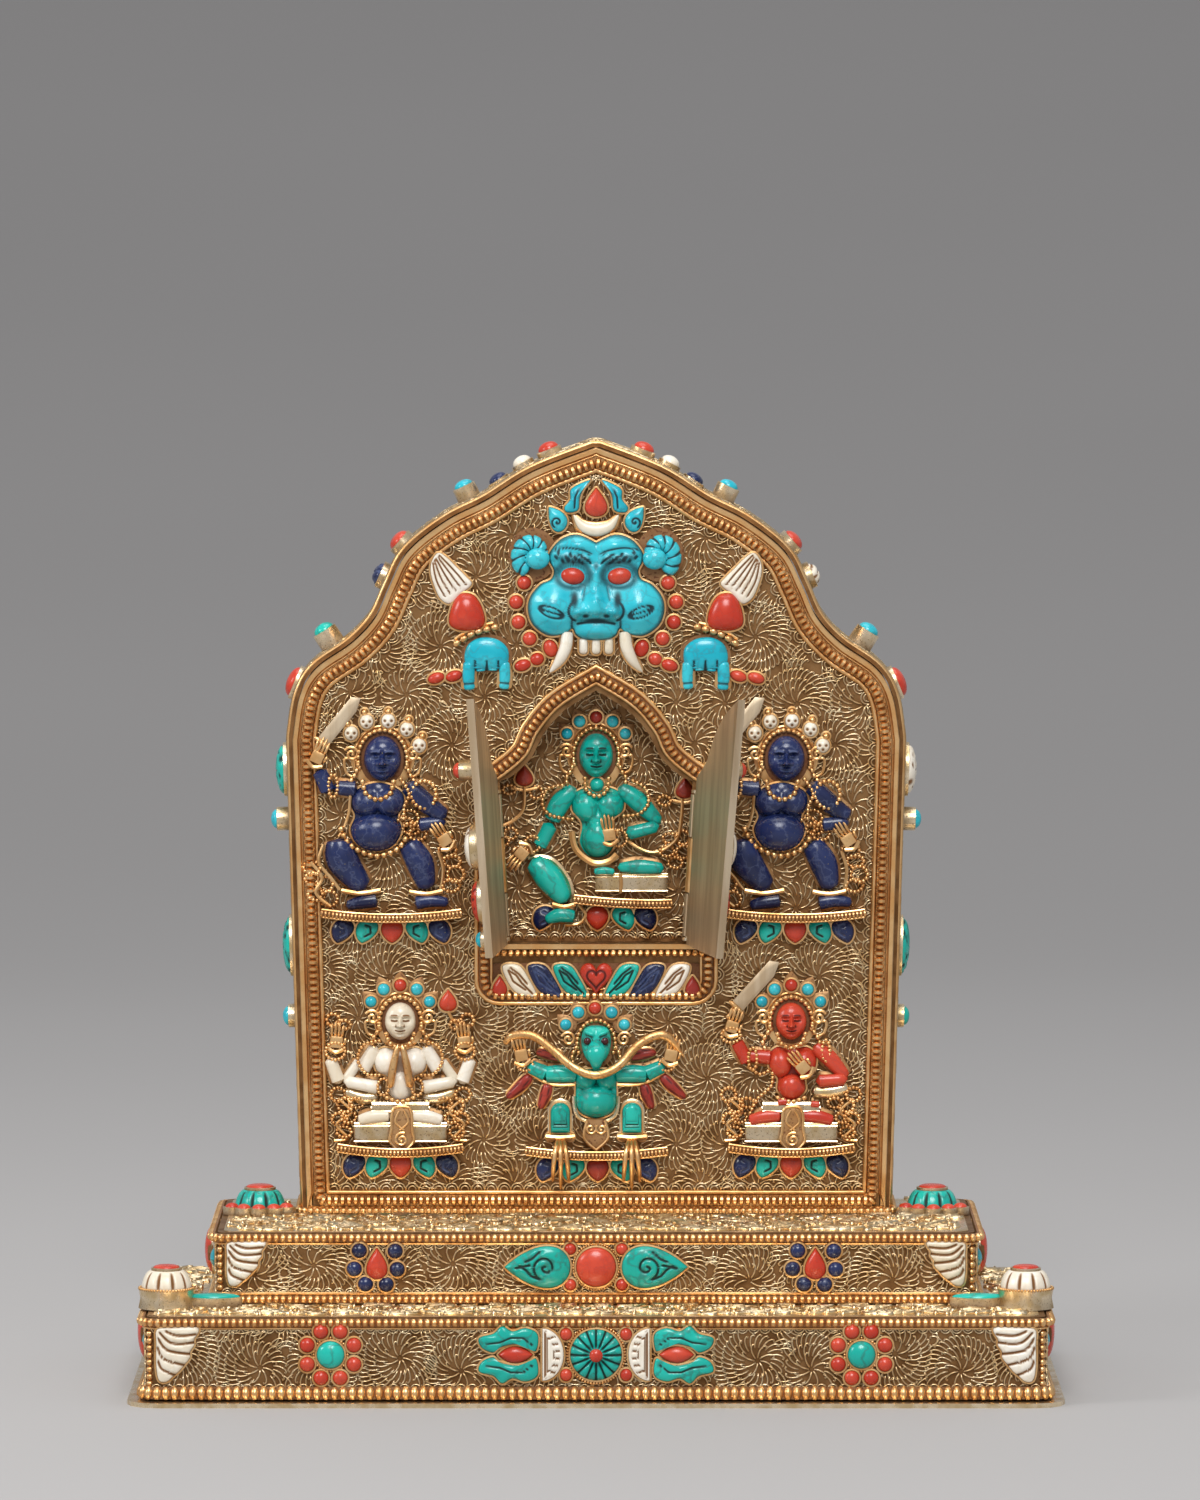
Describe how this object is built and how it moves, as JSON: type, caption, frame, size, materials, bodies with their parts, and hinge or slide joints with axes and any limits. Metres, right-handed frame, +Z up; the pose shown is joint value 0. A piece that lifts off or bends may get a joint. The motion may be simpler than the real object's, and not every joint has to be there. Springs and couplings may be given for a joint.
{
  "type": "gau prayer box",
  "caption": "Shrine-shaped amulet case on a stepped base: stone-set figures on a filigree front, a niche behind two hinged doors, and a relic chamber closed by a slide-off back lid.",
  "frame": {"origin": "middle of the base's underside", "axes": "+X to the viewer's right, +Y to the back (the front faces -Y), +Z up"},
  "size_m": [0.238, 0.111, 0.2416],
  "materials": {
    "gilt_copper": "burnished, dark in the recesses",
    "silvered_filigree": "pale wirework over a brown ground",
    "brass_sheet": "dull, hand-beaten",
    "turquoise": "polished stone",
    "sky_turquoise": "polished stone",
    "lapis": "polished stone",
    "coral": "polished coral",
    "conch_shell": "carved shell, brown in the grooves"
  },
  "bodies": {
    "shrine": {"lower_tier_foot_rail": "gilt_copper", "lower_tier_top_rail": "gilt_copper", "upper_tier_foot_rail": "gilt_copper", "upper_tier_top_rail": "gilt_copper", "case_wall": "gilt_copper", "rim_band": "gilt_copper", "rim_bead_rail": "gilt_copper", "rim_inner_wire": "gilt_copper", "niche_frame_rail": "gilt_copper", "lotus_panel": "gilt_copper", "left_hinge_post": "gilt_copper", "right_hinge_post": "gilt_copper", "left_hinge_pin": "gilt_copper", "right_hinge_pin": "gilt_copper", "blue_throne_left": "gilt_copper", "blue_throne_right": "gilt_copper", "white_throne": "gilt_copper", "red_throne": "gilt_copper", "bird_throne": "gilt_copper", "green_throne": "gilt_copper", "lower_tier_shell": "silvered_filigree", "upper_tier_shell": "silvered_filigree", "front_plate": "silvered_filigree", "niche_tray": "silvered_filigree", "side_filigree_band": "silvered_filigree", "base_bottom_plate": "brass_sheet", "green_figure": "turquoise", "bird_figure": "turquoise", "upper_centre_ornament": "turquoise", "lower_centre_ornament": "turquoise", "left_upper_rosette": "turquoise", "right_upper_rosette": "turquoise", "guardian_mask": "sky_turquoise", "mask_left_hand": "sky_turquoise", "mask_right_hand": "sky_turquoise", "blue_figure_left": "lapis", "blue_figure_right": "lapis", "red_figure": "coral", "left_upper_flower": "coral", "right_upper_flower": "coral", "left_lower_flower": "coral", "right_lower_flower": "coral", "white_figure": "conch_shell", "left_upper_fan": "conch_shell", "right_upper_fan": "conch_shell", "left_lower_fan": "conch_shell", "right_lower_fan": "conch_shell", "left_lower_rosette": "conch_shell", "right_lower_rosette": "conch_shell"},
    "left_door": {"left_door": "brass_sheet", "left_door_turquoise_stud": "turquoise", "left_door_coral_tip": "coral", "left_door_coral_panel": "coral", "left_door_shell_panel": "conch_shell"},
    "right_door": {"right_door": "brass_sheet", "right_door_turquoise_stud": "turquoise", "right_door_coral_tip": "coral", "right_door_coral_panel": "coral", "right_door_shell_panel": "conch_shell"},
    "back_cover": {"back_cover": "brass_sheet"}
  },
  "joints": [
    {"name": "left_door_hinge", "type": "hinge", "parent": "shrine", "child": "left_door", "pos_m": [-0.0248, 0.0123, 0.13215], "axis": [0.061, 0, -0.9981], "range_deg": [-100, 12]},
    {"name": "right_door_hinge", "type": "hinge", "parent": "shrine", "child": "right_door", "pos_m": [0.0248, 0.0123, 0.13215], "axis": [0.061, 0, 0.9981], "range_deg": [-111, 3]},
    {"name": "back_cover_slide", "type": "slide", "parent": "shrine", "child": "back_cover", "axis": [0, 1, 0], "range_m": [0, 0.03]}
  ]
}
